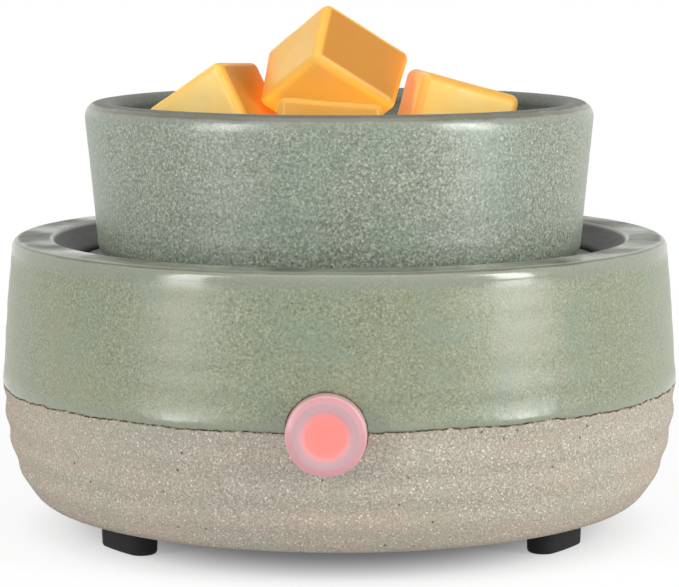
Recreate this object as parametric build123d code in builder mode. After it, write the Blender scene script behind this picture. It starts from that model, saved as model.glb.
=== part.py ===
from build123d import *
import math
import os

# Wax melt warmer: a stoneware base with a warming plate, and a loose dish of wax melts.
# The vertical axis is Z, zero is the standing plane, and the push button faces -Y.
# Lengths are in millimetres, angles in degrees.

os.makedirs("parts", exist_ok=True)

# Overrun of every cut past the surface that it goes through
overrun = 2.0

# Stoneware base
foot_edge_inset = 10.8
glaze_edge_inset = 0.4
shoulder_inset = 2.5
rim_width = 13.9
glaze_height_share = 0.5663
ridge_pitch = 6.5
ridge_depth = 0.45
ridge_points = 32
waist_shares = [(0.86, 0.20), (0.58, 0.52)]
wall_thickness = 7.0
cavity_floor_fillet = 10.0
cavity_roof_fillet = 6.0
cover_flange_width = 14.2
ledge_width = 8.6
flange_thickness = 5.0
ledge_thickness = 5.0
shoulder_fillet = 2.0
rim_land = 8.6
rim_fillet = 1.8
pottery_edge_fillet = 0.6

# Recess for a jar candle, with the warming plate as its floor
recess_depth = 5.3
recess_slope_rise = 4.6

# Rubber feet
foot_height = 6.4
foot_inset = 0.4
foot_width = 7.0
foot_arc = 10.0
foot_angle = 55.0
feet_turn = 3.0
foot_taper = 2.0
foot_edge_fillet = 0.8
foot_peg_radius = 1.8
foot_peg_length = 2.0
foot_peg_arc = 8.0
foot_peg_clearance = 0.1

# Bottom cover
cover_thickness = 2.5
cover_clearance = 0.5
cover_seat_step = 10.0
cover_rib_height = 2.5
cover_rib_width = 2.0
cover_rib_clearance = 0.5
cover_edge_fillet = 0.5
vent_length = 20.0
vent_width = 2.6
vent_pitch = 6.0
vent_rows = 5
vent_bank_shares = (0.48, -0.36)

# Warming plate and its silicone gasket
plate_thickness = 1.5
plate_clearance = 0.6
plate_edge_fillet = 0.4
gasket_thickness = 0.6
gasket_inset = 1.0

# Heater stack under the plate
heater_thickness = 1.6
pad_thickness = 3.0
pressure_thickness = 1.0
tab_width = 4.8
tab_thickness = 0.8
tab_length = 9.9
tab_x = 8.0
tab_y = 9.0
tab_clearance = 1.0

# Clamp spider, its studs and posts, measured outward from the window for the fuse
heater_room = 41.5
arm_count = 3
first_arm_angle = 30.0
arm_width = 13.0
window_radius = 19.0
post_margin = 5.0
stud_margin = 16.0
hub_step = 7.0
heater_step = 6.0
pressure_margin = 5.0
port_margin = 5.0
arm_grip = 11.0
spider_thickness = 1.5
stud_radius = 1.95
stud_clearance = 0.25
stud_tip = 2.0
stud_collar_radius = 3.4
stud_collar_height = 0.6
washer_radius = 4.4
washer_thickness = 0.8
nut_flats = 7.0
nut_height = 3.2
thread_clearance = 0.05
post_flats = 6.0
post_pin_radius = 1.5
post_bore_depth = 9.0
boss_radius = 4.5
boss_height = 2.0
screw_radius = 1.5
screw_length = 8.0
screw_head_radius = 2.8
screw_head_height = 1.9
screw_head_clearance = 0.3
screw_slot_width = 0.8
screw_slot_depth = 0.7

# Thermal fuse under the pressure plate
fuse_radius = 2.0
fuse_length = 10.0
fuse_fillet = 0.5
fuse_y = -4.0
fuse_gap = 0.1
fuse_wire_radius = 0.5
fuse_wire_reach = 10.0
fuse_wire_drop = 3.8
fuse_wire_bend = 1.8
sleeve_radius = 1.6
sleeve_length = 6.0
clip_width = 5.0
clip_thickness = 0.6
clip_foot = 7.0
clip_clearance = 0.15
clip_screw_radius = 1.2
clip_head_radius = 2.2
clip_head_height = 1.3

# Push button at the front
button_height_share = 0.5687
button_stand = 3.2
button_radius = 8.15
button_length = 15.0
button_travel = 1.6
button_edge_fillet = 1.3
button_front_wall = 2.2
button_wall = 1.55
dimple_radius = 4.85
dimple_depth = 0.5
dimple_fillet = 0.35
collar_radius = 9.5
collar_thickness = 1.2
hole_clearance = 0.35
guide_clearance = 0.1
seat_inset = 8.5
seat_radius = 14.5
switch_gasket_thickness = 0.8
switch_flange_radius = 13.5
switch_flange_thickness = 2.0
switch_lip_thickness = 1.2
switch_radius = 12.0
switch_length = 15.0
slider_thickness = 2.8
slider_bore = 5.0
slider_clearance = 0.2
base_plug_length = 3.8
base_flange_length = 2.0
lamp_post_radius = 3.4
lamp_post_length = 7.0
lamp_radius = 2.5
lamp_length = 8.6
lamp_dome_share = 0.9
lamp_rim_radius = 2.9
lamp_rim_height = 1.0
spring_radius = 7.6
spring_wire_radius = 0.3
spring_turns = 4
spring_end_gap = 0.1
pole_spread = 6.5
pole_drop = 6.5
pole_width = 4.0
pole_thickness = 0.8
pole_length = 6.7

# Terminal block on the cover
block_inset = 12.0
block_width = 22.0
block_depth = 12.0
block_height = 13.0
block_pitch = 7.0
block_wire_height = 7.0
block_hole_depth = 5.0
block_hole_clearance = 0.2
block_ear_reach = 4.0
block_ear_height = 3.0
block_foot_height = 2.5
block_foot_radius = 3.2
block_edge_fillet = 0.6
clamp_screw_radius = 1.7
clamp_screw_length = 3.6
clamp_screw_sink = 0.4
clamp_screw_offset = 3.0
clamp_screw_clearance = 0.15
ear_screw_radius = 1.3
ear_screw_head_radius = 2.4
ear_screw_head_height = 1.6
ear_screw_length = 7.0
ear_screw_clearance = 0.05

# Cord gland at the rear
gland_height = 22.0
gland_width = 11.0
gland_rise = 9.0
gland_corner = 1.2
gland_clearance = 0.25
gland_seat_inset = 2.6
gland_flange_thickness = 2.4
gland_flange_margin = 2.2
gland_nose_radius = 5.2
gland_nose_tip_radius = 4.6
gland_stand = 3.2
gland_root_inset = 10.5
gland_barb = 1.2
gland_barb_share = 0.5
gland_barb_thickness = 2.0
gland_barb_gap = 0.3
cord_bore_radius = 3.1

# Internal leads
lead_radius = 1.1
bend_share = 0.45
switch_exit_margin = 3.0

# Dish
dish_play = 2.2
dish_foot_play = 5.4
dish_height = 35.1
dish_foot_fillet = 4.5
dish_floor_thickness = 7.0
dish_lip_width = 6.8
dish_lip_land = 0.4
dish_lip_outer_fillet = 3.2
dish_lip_inner_fillet = 2.6

# Wax melts, frusta as they snap out of their tray
melt_width = 23.8
melt_taper = 1.4
melt_thickness = 16.5
melt_fillet = 2.2
melt_gap = 0.3
settled_share = 0.05
settling_steps = 40
heap_turn = 2.0

# Radii that follow from the sizes above, from the window outward
post_circle = window_radius + post_margin
stud_circle = post_circle + stud_margin
hub_radius = stud_circle - hub_step
heater_radius = stud_circle - heater_step
pressure_radius = stud_circle + pressure_margin
port_radius = pressure_radius + port_margin
arm_reach = port_radius + arm_grip
recess_radius = port_radius + ledge_width
shoulder_radius = recess_radius + rim_width
body_radius = shoulder_radius + shoulder_inset
glaze_edge_radius = body_radius - glaze_edge_inset
foot_edge_radius = body_radius - foot_edge_inset
cavity_radius = body_radius - wall_thickness
cover_port_radius = foot_edge_radius - cover_flange_width
cover_radius = cover_port_radius + cover_seat_step - cover_clearance
foot_outer_radius = cover_radius - foot_inset
dish_radius = recess_radius - dish_play
dish_foot_radius = recess_radius - dish_foot_play
dish_mouth_radius = dish_radius - dish_lip_width

# Depths from the vertical axis
button_face = body_radius + button_stand
seat_depth = body_radius - seat_inset
gland_tip = body_radius + gland_stand
gland_seat = body_radius - gland_seat_inset
gland_root = body_radius - gland_root_inset
block_y = cover_port_radius - block_inset

# Heights that follow from the sizes above
cover_top = foot_height + cover_thickness
glaze_height = cover_top + heater_room * glaze_height_share
button_height = cover_top + heater_room * button_height_share
spider_underside = cover_top + heater_room
pressure_underside = spider_underside + spider_thickness
pad_underside = pressure_underside + pressure_thickness
heater_underside = pad_underside + pad_thickness
plate_underside = heater_underside + heater_thickness
plate_top = plate_underside + plate_thickness
body_top = plate_top + recess_depth
cavity_floor = cover_top + flange_thickness
ledge_top = plate_underside - gasket_thickness
ledge_underside = ledge_top - ledge_thickness
boss_top = cover_top + boss_height
arm_angles = [first_arm_angle + 360.0 / arm_count * index for index in range(arm_count)]


def write_piece(piece, name):
    """Label a finished piece and write it under its own name."""
    piece.part.label = name
    export_step(piece.part, f"parts/{name}.step")


def front_plane(depth):
    """Plane that faces the user at a depth from the axis, centred on the push button."""
    return Plane(origin=(0, -depth, button_height), x_dir=(1, 0, 0), z_dir=(0, -1, 0))


def rear_plane(depth):
    """Plane that faces the rear at a depth from the axis, centred on the cord gland."""
    return Plane(origin=(0, depth, gland_height), x_dir=(-1, 0, 0), z_dir=(0, 1, 0))


def on_circle(radius, angles):
    """Places on a circle about the vertical axis."""
    return [(radius * math.cos(math.radians(a)), radius * math.sin(math.radians(a))) for a in angles]


# Base shell
# The raw wall rises as a quarter ellipse with shallow throwing ridges, up to the glaze line.
# Above it the glazed wall leans in to the shoulder, and the rim slopes down into the recess.


def raw_wall_points():
    """Outline of the unglazed wall, from the foot edge up to the glaze line."""
    rise = glaze_height - foot_height
    bulge = body_radius - foot_edge_radius
    points = []
    for index in range(ridge_points + 1):
        angle = math.radians(90.0 * index / ridge_points)
        height = foot_height + rise * (1 - math.cos(angle))
        wave = math.cos(2 * math.pi * (glaze_height - height) / ridge_pitch) - 1
        radius = foot_edge_radius + bulge * math.sin(angle) + ridge_depth / 2 * wave * math.sin(angle)
        points.append((radius, height))
    return points


shoulder_start = body_top - shoulder_fillet - pottery_edge_fillet
wall_rise = shoulder_start - glaze_height
wall_lean = glaze_edge_radius - shoulder_radius
glazed_wall = [(glaze_edge_radius, glaze_height + pottery_edge_fillet)]
for lean_share, rise_share in waist_shares:
    glazed_wall.append((shoulder_radius + wall_lean * lean_share, glaze_height + wall_rise * rise_share))
glazed_wall.append((shoulder_radius, shoulder_start))
inner_outline = [
    glazed_wall[-1],
    (shoulder_radius, body_top),
    (shoulder_radius - rim_land, body_top),
    (recess_radius, body_top - recess_slope_rise),
    (recess_radius, ledge_top),
    (port_radius, ledge_top),
    (port_radius, ledge_underside),
    (cavity_radius, ledge_underside),
    (cavity_radius, cavity_floor),
    (cover_port_radius, cavity_floor),
    (cover_port_radius, cover_top),
    (cover_port_radius + cover_seat_step, cover_top),
    (cover_port_radius + cover_seat_step, foot_height),
    (foot_edge_radius, foot_height),
]
inner_fillets = [shoulder_fillet, rim_fillet, rim_fillet]
inner_fillets += [pottery_edge_fillet] * 3
inner_fillets += [cavity_roof_fillet, cavity_floor_fillet]
inner_fillets += [pottery_edge_fillet] * 4

with BuildPart() as base_shell:
    with BuildSketch(Plane.XZ):
        with BuildLine():
            raw_wall = Spline(*raw_wall_points())
            Line(raw_wall @ 1, glazed_wall[0])
            Spline(*glazed_wall)
            FilletPolyline(*inner_outline, radius=inner_fillets)
        make_face()
    revolve(axis=Axis.Z)
    # Flat seat inside for the switch, and the hole for the button
    with BuildSketch(front_plane(seat_depth)):
        Circle(seat_radius)
    extrude(amount=cavity_radius - seat_depth + overrun)
    with BuildSketch(front_plane(seat_depth)):
        Circle(seat_radius)
    extrude(amount=-(seat_depth - port_radius), mode=Mode.SUBTRACT)
    with BuildSketch(front_plane(seat_depth - overrun)):
        Circle(button_radius + hole_clearance)
    extrude(amount=body_radius - seat_depth + 2 * overrun, mode=Mode.SUBTRACT)
    # Window for the cord gland, with a flat pocket for its flange
    with BuildSketch(rear_plane(gland_root - overrun)):
        RectangleRounded(
            gland_width + 2 * gland_clearance,
            gland_rise + 2 * gland_clearance,
            gland_corner + gland_clearance,
        )
    extrude(amount=body_radius - gland_root + 2 * overrun, mode=Mode.SUBTRACT)
    with BuildSketch(rear_plane(gland_seat)):
        RectangleRounded(
            gland_width + 2 * (gland_flange_margin + gland_clearance),
            gland_rise + 2 * (gland_flange_margin + gland_clearance),
            gland_corner + gland_flange_margin,
        )
    extrude(amount=body_radius - gland_seat + overrun, mode=Mode.SUBTRACT)
write_piece(base_shell, "base_shell")

# Bottom cover
# A vented disc in the seat under the stoneware flange. A rib centres it in the port.

foot_centre_radius = foot_outer_radius - foot_width / 2
foot_angles = {
    "foot_front_left": 270.0 - foot_angle + feet_turn,
    "foot_front_right": 270.0 + foot_angle + feet_turn,
    "foot_rear_right": 90.0 - foot_angle + feet_turn,
    "foot_rear_left": 90.0 + foot_angle + feet_turn,
}
peg_angles = [angle + side * foot_peg_arc / 2 for angle in foot_angles.values() for side in (-1, 1)]
block_ear_x = block_width / 2 + block_ear_reach
rib_radius = cover_port_radius - cover_rib_clearance
vent_bank_x = cover_port_radius * vent_bank_shares[0]
vent_bank_y = cover_port_radius * vent_bank_shares[1]

with BuildPart() as bottom_cover:
    with BuildSketch(Plane.XY.offset(foot_height)):
        Circle(cover_radius)
    extrude(amount=cover_thickness)
    fillet(bottom_cover.edges().filter_by(GeomType.CIRCLE), cover_edge_fillet)
    with BuildSketch(Plane.XY.offset(cover_top)):
        Circle(rib_radius)
        Circle(rib_radius - cover_rib_width, mode=Mode.SUBTRACT)
    extrude(amount=cover_rib_height)
    with BuildSketch(Plane.XY.offset(cover_top)):
        with Locations(*on_circle(post_circle, arm_angles)):
            Circle(boss_radius)
    extrude(amount=boss_height)
    with BuildSketch(Plane.XY.offset(cover_top)):
        with Locations((-block_ear_x, block_y), (block_ear_x, block_y)):
            Circle(block_foot_radius)
    extrude(amount=block_foot_height)
    # Counterbored holes for the cover screws
    with BuildSketch(Plane.XY.offset(foot_height)):
        with Locations(*on_circle(post_circle, arm_angles)):
            Circle(screw_head_radius + screw_head_clearance)
    extrude(amount=screw_head_height + screw_head_clearance, mode=Mode.SUBTRACT)
    with BuildSketch(Plane.XY.offset(foot_height)):
        with Locations(*on_circle(post_circle, arm_angles)):
            Circle(screw_radius + stud_clearance)
    extrude(amount=cover_thickness + boss_height, mode=Mode.SUBTRACT)
    # Holes for the terminal block's screws
    with BuildSketch(Plane.XY.offset(cover_top + block_foot_height)):
        with Locations((-block_ear_x, block_y), (block_ear_x, block_y)):
            Circle(ear_screw_radius + ear_screw_clearance)
    extrude(amount=-(ear_screw_length - block_ear_height), mode=Mode.SUBTRACT)
    # Holes for the foot pegs
    with BuildSketch(Plane.XY.offset(foot_height)):
        with Locations(*on_circle(foot_centre_radius, peg_angles)):
            Circle(foot_peg_radius + foot_peg_clearance)
    extrude(amount=cover_thickness, mode=Mode.SUBTRACT)
    # Two banks of cooling slots
    with BuildSketch(Plane.XY.offset(foot_height)):
        with Locations((-vent_bank_x, vent_bank_y), (vent_bank_x, vent_bank_y)):
            with GridLocations(vent_length, vent_pitch, 1, vent_rows):
                SlotOverall(vent_length, vent_width)
    extrude(amount=cover_thickness, mode=Mode.SUBTRACT)
write_piece(bottom_cover, "bottom_cover")

# Feet
# Each rubber block is an arc of one ring, and its two pegs push up into the cover.

for foot_name, angle in foot_angles.items():
    with BuildPart() as foot:
        with BuildSketch(Plane.XY.offset(foot_height)):
            SlotArc(
                CenterArc((0, 0), foot_centre_radius, angle - foot_arc / 2, foot_arc, mode=Mode.PRIVATE),
                height=foot_width,
            )
        extrude(amount=-foot_height, taper=foot_taper)
        fillet(foot.faces().sort_by(Axis.Z)[0].outer_wire().edges(), foot_edge_fillet)
        with BuildSketch(Plane.XY.offset(foot_height)):
            with Locations(*on_circle(foot_centre_radius, [angle - foot_peg_arc / 2, angle + foot_peg_arc / 2])):
                Circle(foot_peg_radius)
        extrude(amount=foot_peg_length)
    write_piece(foot, foot_name)

# Warming plate, studs and gasket

with BuildPart() as plate_gasket:
    with BuildSketch(Plane.XY.offset(ledge_top)):
        Circle(recess_radius - gasket_inset)
        Circle(port_radius + gasket_inset, mode=Mode.SUBTRACT)
    extrude(amount=gasket_thickness)
write_piece(plate_gasket, "plate_gasket")

with BuildPart() as warming_plate:
    with BuildSketch(Plane.XY.offset(plate_underside)):
        Circle(recess_radius - plate_clearance)
    extrude(amount=plate_thickness)
    fillet(warming_plate.edges().filter_by(GeomType.CIRCLE).group_by(Axis.Z)[-1], plate_edge_fillet)
write_piece(warming_plate, "warming_plate")

stud_bottom = spider_underside - washer_thickness - nut_height - stud_tip

with BuildPart() as plate_studs:
    with BuildSketch(Plane.XY.offset(plate_underside)):
        with Locations(*on_circle(stud_circle, arm_angles)):
            Circle(stud_collar_radius)
    extrude(amount=-stud_collar_height)
    with BuildSketch(Plane.XY.offset(plate_underside)):
        with Locations(*on_circle(stud_circle, arm_angles)):
            Circle(stud_radius)
    extrude(amount=stud_bottom - plate_underside)
write_piece(plate_studs, "plate_studs")

# Heater stack

with BuildPart() as heater_element:
    with BuildSketch(Plane.XY.offset(heater_underside)):
        Circle(heater_radius)
    extrude(amount=heater_thickness)
write_piece(heater_element, "heater_element")

with BuildPart() as heater_terminals:
    with BuildSketch(Plane.XY.offset(heater_underside)):
        with Locations((-tab_x, tab_y), (tab_x, tab_y)):
            Rectangle(tab_width, tab_thickness)
    extrude(amount=-tab_length)
write_piece(heater_terminals, "heater_terminals")

with BuildPart() as insulation_pad:
    with BuildSketch(Plane.XY.offset(pad_underside)):
        Circle(heater_radius)
        with Locations((-tab_x, tab_y), (tab_x, tab_y)):
            Rectangle(tab_width + tab_clearance, tab_thickness + tab_clearance, mode=Mode.SUBTRACT)
    extrude(amount=pad_thickness)
write_piece(insulation_pad, "insulation_pad")

clip_screw_y = fuse_y - fuse_radius - clip_foot / 2 - clip_thickness

with BuildPart() as pressure_plate:
    with BuildSketch(Plane.XY.offset(pressure_underside)):
        Circle(pressure_radius)
        with Locations((-tab_x, tab_y), (tab_x, tab_y)):
            Rectangle(tab_width + 2 * tab_clearance, tab_thickness + 2 * tab_clearance, mode=Mode.SUBTRACT)
        with Locations(*on_circle(stud_circle, arm_angles)):
            Circle(stud_radius + stud_clearance, mode=Mode.SUBTRACT)
        with Locations((0, clip_screw_y)):
            Circle(clip_screw_radius + thread_clearance, mode=Mode.SUBTRACT)
    extrude(amount=pressure_thickness)
write_piece(pressure_plate, "pressure_plate")

# Clamp spider
# Its three arms bear up on the underside of the stoneware ledge, and the plate's nuts pull on it.

with BuildPart() as clamp_spider:
    with BuildSketch(Plane.XY.offset(spider_underside)):
        Circle(hub_radius)
        for angle in arm_angles:
            with Locations(Location((0, 0, 0), (0, 0, angle))):
                Rectangle(arm_reach, arm_width, align=(Align.MIN, Align.CENTER))
        Circle(window_radius, mode=Mode.SUBTRACT)
        with Locations(*on_circle(stud_circle, arm_angles)):
            Circle(stud_radius + stud_clearance, mode=Mode.SUBTRACT)
        with Locations(*on_circle(post_circle, arm_angles)):
            Circle(post_pin_radius + thread_clearance, mode=Mode.SUBTRACT)
    extrude(amount=spider_thickness)
write_piece(clamp_spider, "clamp_spider")

with BuildPart() as stud_washers:
    with BuildSketch(Plane.XY.offset(spider_underside)):
        with Locations(*on_circle(stud_circle, arm_angles)):
            Circle(washer_radius)
            Circle(stud_radius + thread_clearance, mode=Mode.SUBTRACT)
    extrude(amount=-washer_thickness)
write_piece(stud_washers, "stud_washers")

with BuildPart() as plate_nuts:
    with BuildSketch(Plane.XY.offset(spider_underside - washer_thickness)):
        with Locations(*on_circle(stud_circle, arm_angles)):
            RegularPolygon(nut_flats / 2, 6, major_radius=False)
            Circle(stud_radius + thread_clearance, mode=Mode.SUBTRACT)
    extrude(amount=-nut_height)
write_piece(plate_nuts, "plate_nuts")

# Posts between cover and spider, and the screws that hold the cover up

with BuildPart() as cover_posts:
    with BuildSketch(Plane.XY.offset(boss_top)):
        with Locations(*on_circle(post_circle, arm_angles)):
            RegularPolygon(post_flats / 2, 6, major_radius=False)
    extrude(amount=spider_underside - boss_top)
    with BuildSketch(Plane.XY.offset(spider_underside)):
        with Locations(*on_circle(post_circle, arm_angles)):
            Circle(post_pin_radius)
    extrude(amount=spider_thickness)
    with BuildSketch(Plane.XY.offset(boss_top)):
        with Locations(*on_circle(post_circle, arm_angles)):
            Circle(screw_radius + thread_clearance)
    extrude(amount=post_bore_depth, mode=Mode.SUBTRACT)
write_piece(cover_posts, "cover_posts")

screw_seat = foot_height + screw_head_height + screw_head_clearance

with BuildPart() as cover_screws:
    with BuildSketch(Plane.XY.offset(screw_seat)):
        with Locations(*on_circle(post_circle, arm_angles)):
            Circle(screw_head_radius)
    extrude(amount=-screw_head_height)
    with BuildSketch(Plane.XY.offset(screw_seat)):
        with Locations(*on_circle(post_circle, arm_angles)):
            Circle(screw_radius)
    extrude(amount=screw_length)
    with BuildSketch(Plane.XY.offset(screw_seat - screw_head_height)):
        with Locations(*on_circle(post_circle, arm_angles)):
            Rectangle(2 * screw_head_radius, screw_slot_width)
            Rectangle(screw_slot_width, 2 * screw_head_radius)
    extrude(amount=screw_slot_depth, mode=Mode.SUBTRACT)
write_piece(cover_screws, "cover_screws")

# Thermal fuse
# It lies against the pressure plate inside the spider's window, and its wires turn down.

fuse_height = pressure_underside - fuse_gap - fuse_radius

with BuildPart() as thermal_fuse:
    with BuildSketch(Plane.YZ.offset(-fuse_length / 2)):
        with Locations((fuse_y, fuse_height)):
            Circle(fuse_radius)
    extrude(amount=fuse_length)
    fillet(thermal_fuse.edges().filter_by(GeomType.CIRCLE), fuse_fillet)
    for side in (-1, 1):
        with BuildLine() as wire_path:
            FilletPolyline(
                (side * fuse_length / 2, fuse_y, fuse_height),
                (side * fuse_wire_reach, fuse_y, fuse_height),
                (side * fuse_wire_reach, fuse_y, fuse_height - fuse_wire_drop),
                radius=fuse_wire_bend,
            )
        with BuildSketch(Plane(origin=wire_path.line @ 0, z_dir=wire_path.line % 0)):
            Circle(fuse_wire_radius)
        sweep(path=wire_path.line)
write_piece(thermal_fuse, "thermal_fuse")

sleeve_top = fuse_height - fuse_wire_drop

with BuildPart() as crimp_sleeves:
    with BuildSketch(Plane.XY.offset(sleeve_top)):
        with Locations((-fuse_wire_reach, fuse_y), (fuse_wire_reach, fuse_y)):
            Circle(sleeve_radius)
    extrude(amount=-sleeve_length)
write_piece(crimp_sleeves, "crimp_sleeves")

clip_inner = fuse_radius + clip_clearance
clip_outer = clip_inner + clip_thickness

with BuildPart() as fuse_clip:
    with BuildSketch(Plane.YZ.offset(-clip_width / 2)):
        with Locations((fuse_y, fuse_height)):
            Circle(clip_outer)
            Rectangle(2 * clip_outer, clip_outer, align=(Align.CENTER, Align.MIN), mode=Mode.SUBTRACT)
            Rectangle(2 * clip_outer, pressure_underside - fuse_height, align=(Align.CENTER, Align.MIN))
            Circle(clip_inner, mode=Mode.SUBTRACT)
            Rectangle(
                2 * clip_inner,
                pressure_underside - fuse_height,
                align=(Align.CENTER, Align.MIN),
                mode=Mode.SUBTRACT,
            )
        with Locations((fuse_y - clip_inner, pressure_underside)):
            Rectangle(clip_foot, clip_thickness, align=(Align.MAX, Align.MAX))
    extrude(amount=clip_width)
    with BuildSketch(Plane.XY.offset(pressure_underside)):
        with Locations((0, clip_screw_y)):
            Circle(clip_screw_radius + thread_clearance)
    extrude(amount=-clip_thickness, mode=Mode.SUBTRACT)
write_piece(fuse_clip, "fuse_clip")

with BuildPart() as fuse_screw:
    with BuildSketch(Plane.XY.offset(pressure_underside - clip_thickness)):
        with Locations((0, clip_screw_y)):
            Circle(clip_head_radius)
    extrude(amount=-clip_head_height)
    with BuildSketch(Plane.XY.offset(pressure_underside - clip_thickness)):
        with Locations((0, clip_screw_y)):
            Circle(clip_screw_radius)
    extrude(amount=clip_thickness + pressure_thickness)
write_piece(fuse_screw, "fuse_screw")

# Push button
# The frosted cap slides in the lip of the housing. Its collar keeps it in, a spring returns it.

housing_front = seat_depth - switch_gasket_thickness
lip_back = housing_front - switch_lip_thickness
housing_back = housing_front - switch_length
collar_front = lip_back - guide_clearance
cap_back = button_face - button_length
housing_bore = collar_radius + guide_clearance

with BuildPart() as button_cap:
    with BuildSketch(front_plane(button_face)):
        Circle(button_radius)
    extrude(amount=-button_length)
    fillet(button_cap.edges().filter_by(GeomType.CIRCLE).sort_by(Axis.Y)[0], button_edge_fillet)
    with BuildSketch(front_plane(button_face)):
        Circle(dimple_radius)
    extrude(amount=-dimple_depth, mode=Mode.SUBTRACT)
    dimple_rim = button_cap.edges().filter_by(GeomType.CIRCLE).group_by(Axis.Y)[0].sort_by(SortBy.RADIUS)[0]
    fillet(dimple_rim, dimple_fillet)
    with BuildSketch(front_plane(cap_back)):
        Circle(collar_radius)
    extrude(amount=collar_front - cap_back)
    with BuildSketch(front_plane(cap_back)):
        Circle(button_radius - button_wall)
    extrude(amount=button_length - button_front_wall, mode=Mode.SUBTRACT)
write_piece(button_cap, "button_cap")

with BuildPart() as switch_gasket:
    with BuildSketch(front_plane(housing_front)):
        Circle(switch_flange_radius)
        Circle(button_radius + hole_clearance, mode=Mode.SUBTRACT)
    extrude(amount=switch_gasket_thickness)
write_piece(switch_gasket, "switch_gasket")

with BuildPart() as switch_housing:
    with BuildSketch(front_plane(housing_front)):
        Circle(switch_flange_radius)
    extrude(amount=-switch_flange_thickness)
    with BuildSketch(front_plane(housing_front)):
        Circle(switch_radius)
    extrude(amount=-switch_length)
    with BuildSketch(front_plane(lip_back)):
        Circle(housing_bore)
    extrude(amount=-(lip_back - housing_back), mode=Mode.SUBTRACT)
    with BuildSketch(front_plane(housing_front)):
        Circle(button_radius + guide_clearance)
    extrude(amount=-switch_lip_thickness, mode=Mode.SUBTRACT)
write_piece(switch_housing, "switch_housing")

slider_back = cap_back - slider_thickness

with BuildPart() as contact_slider:
    with BuildSketch(front_plane(cap_back)):
        Circle(housing_bore - slider_clearance)
        Circle(slider_bore, mode=Mode.SUBTRACT)
    extrude(amount=-slider_thickness)
write_piece(contact_slider, "contact_slider")

plug_front = housing_back + base_plug_length
base_back = housing_back - base_flange_length

with BuildPart() as switch_base:
    with BuildSketch(front_plane(plug_front)):
        Circle(housing_bore - guide_clearance)
    extrude(amount=-base_plug_length)
    with BuildSketch(front_plane(housing_back)):
        Circle(switch_radius)
    extrude(amount=-base_flange_length)
    with BuildSketch(front_plane(plug_front)):
        Circle(lamp_post_radius)
    extrude(amount=lamp_post_length)
write_piece(switch_base, "switch_base")

spring_run = slider_back - plug_front - 2 * (spring_end_gap + spring_wire_radius)
spring_start = plug_front + spring_end_gap + spring_wire_radius

with BuildPart() as return_spring:
    with BuildLine() as coil:
        Helix(
            pitch=spring_run / spring_turns,
            height=spring_run,
            radius=spring_radius,
            center=(0, -spring_start, button_height),
            direction=(0, -1, 0),
        )
    with BuildSketch(Plane(origin=coil.line @ 0, z_dir=coil.line % 0)):
        Circle(spring_wire_radius)
    sweep(path=coil.line, is_frenet=True)
write_piece(return_spring, "return_spring")

lamp_back = plug_front + lamp_post_length

with BuildPart() as indicator_lamp:
    with BuildSketch(front_plane(lamp_back)):
        Circle(lamp_radius)
    extrude(amount=lamp_length)
    fillet(indicator_lamp.edges().filter_by(GeomType.CIRCLE).sort_by(Axis.Y)[0], lamp_radius * lamp_dome_share)
    with BuildSketch(front_plane(lamp_back)):
        Circle(lamp_rim_radius)
    extrude(amount=lamp_rim_height)
write_piece(indicator_lamp, "indicator_lamp")

pole_end = base_back - pole_length

with BuildPart() as switch_terminals:
    with BuildSketch(front_plane(base_back)):
        with Locations((-pole_spread, 0), (pole_spread, 0), (0, -pole_drop)):
            Rectangle(pole_width, pole_thickness)
    extrude(amount=-pole_length)
write_piece(switch_terminals, "switch_terminals")

# Terminal block

block_bottom = cover_top + block_foot_height
block_top = block_bottom + block_height
wire_height = block_bottom + block_wire_height
pole_places = [-block_pitch, 0.0, block_pitch]
clamp_places = [(x, block_y + side * clamp_screw_offset) for x in pole_places for side in (-1, 1)]
ear_places = [(-block_ear_x, block_y), (block_ear_x, block_y)]

with BuildPart() as terminal_block:
    with BuildSketch(Plane.XY.offset(block_bottom)):
        with Locations((0, block_y)):
            Rectangle(block_width, block_depth)
    extrude(amount=block_height)
    fillet(terminal_block.edges().filter_by(Axis.Z), block_edge_fillet)
    with BuildSketch(Plane.XY.offset(block_bottom)):
        with Locations((0, block_y)):
            SlotCenterToCenter(2 * block_ear_x, 2 * block_foot_radius)
    extrude(amount=block_ear_height)
    with BuildSketch(Plane.XY.offset(block_bottom)):
        with Locations(*ear_places):
            Circle(ear_screw_radius + ear_screw_clearance)
    extrude(amount=block_ear_height, mode=Mode.SUBTRACT)
    for side in (-1, 1):
        with BuildSketch(Plane.XZ.offset(-(block_y + side * block_depth / 2))):
            with Locations(*[(x, wire_height) for x in pole_places]):
                Circle(lead_radius + block_hole_clearance)
        extrude(amount=side * block_hole_depth, mode=Mode.SUBTRACT)
    with BuildSketch(Plane.XY.offset(block_top)):
        with Locations(*clamp_places):
            Circle(clamp_screw_radius + clamp_screw_clearance)
    extrude(amount=-(clamp_screw_sink + clamp_screw_length), mode=Mode.SUBTRACT)
write_piece(terminal_block, "terminal_block")

with BuildPart() as terminal_screws:
    with BuildSketch(Plane.XY.offset(block_top - clamp_screw_sink)):
        with Locations(*clamp_places):
            Circle(clamp_screw_radius)
    extrude(amount=-clamp_screw_length)
    with BuildSketch(Plane.XY.offset(block_top - clamp_screw_sink)):
        with Locations(*clamp_places):
            Rectangle(2 * clamp_screw_radius, screw_slot_width)
    extrude(amount=-screw_slot_depth, mode=Mode.SUBTRACT)
write_piece(terminal_screws, "terminal_screws")

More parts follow.
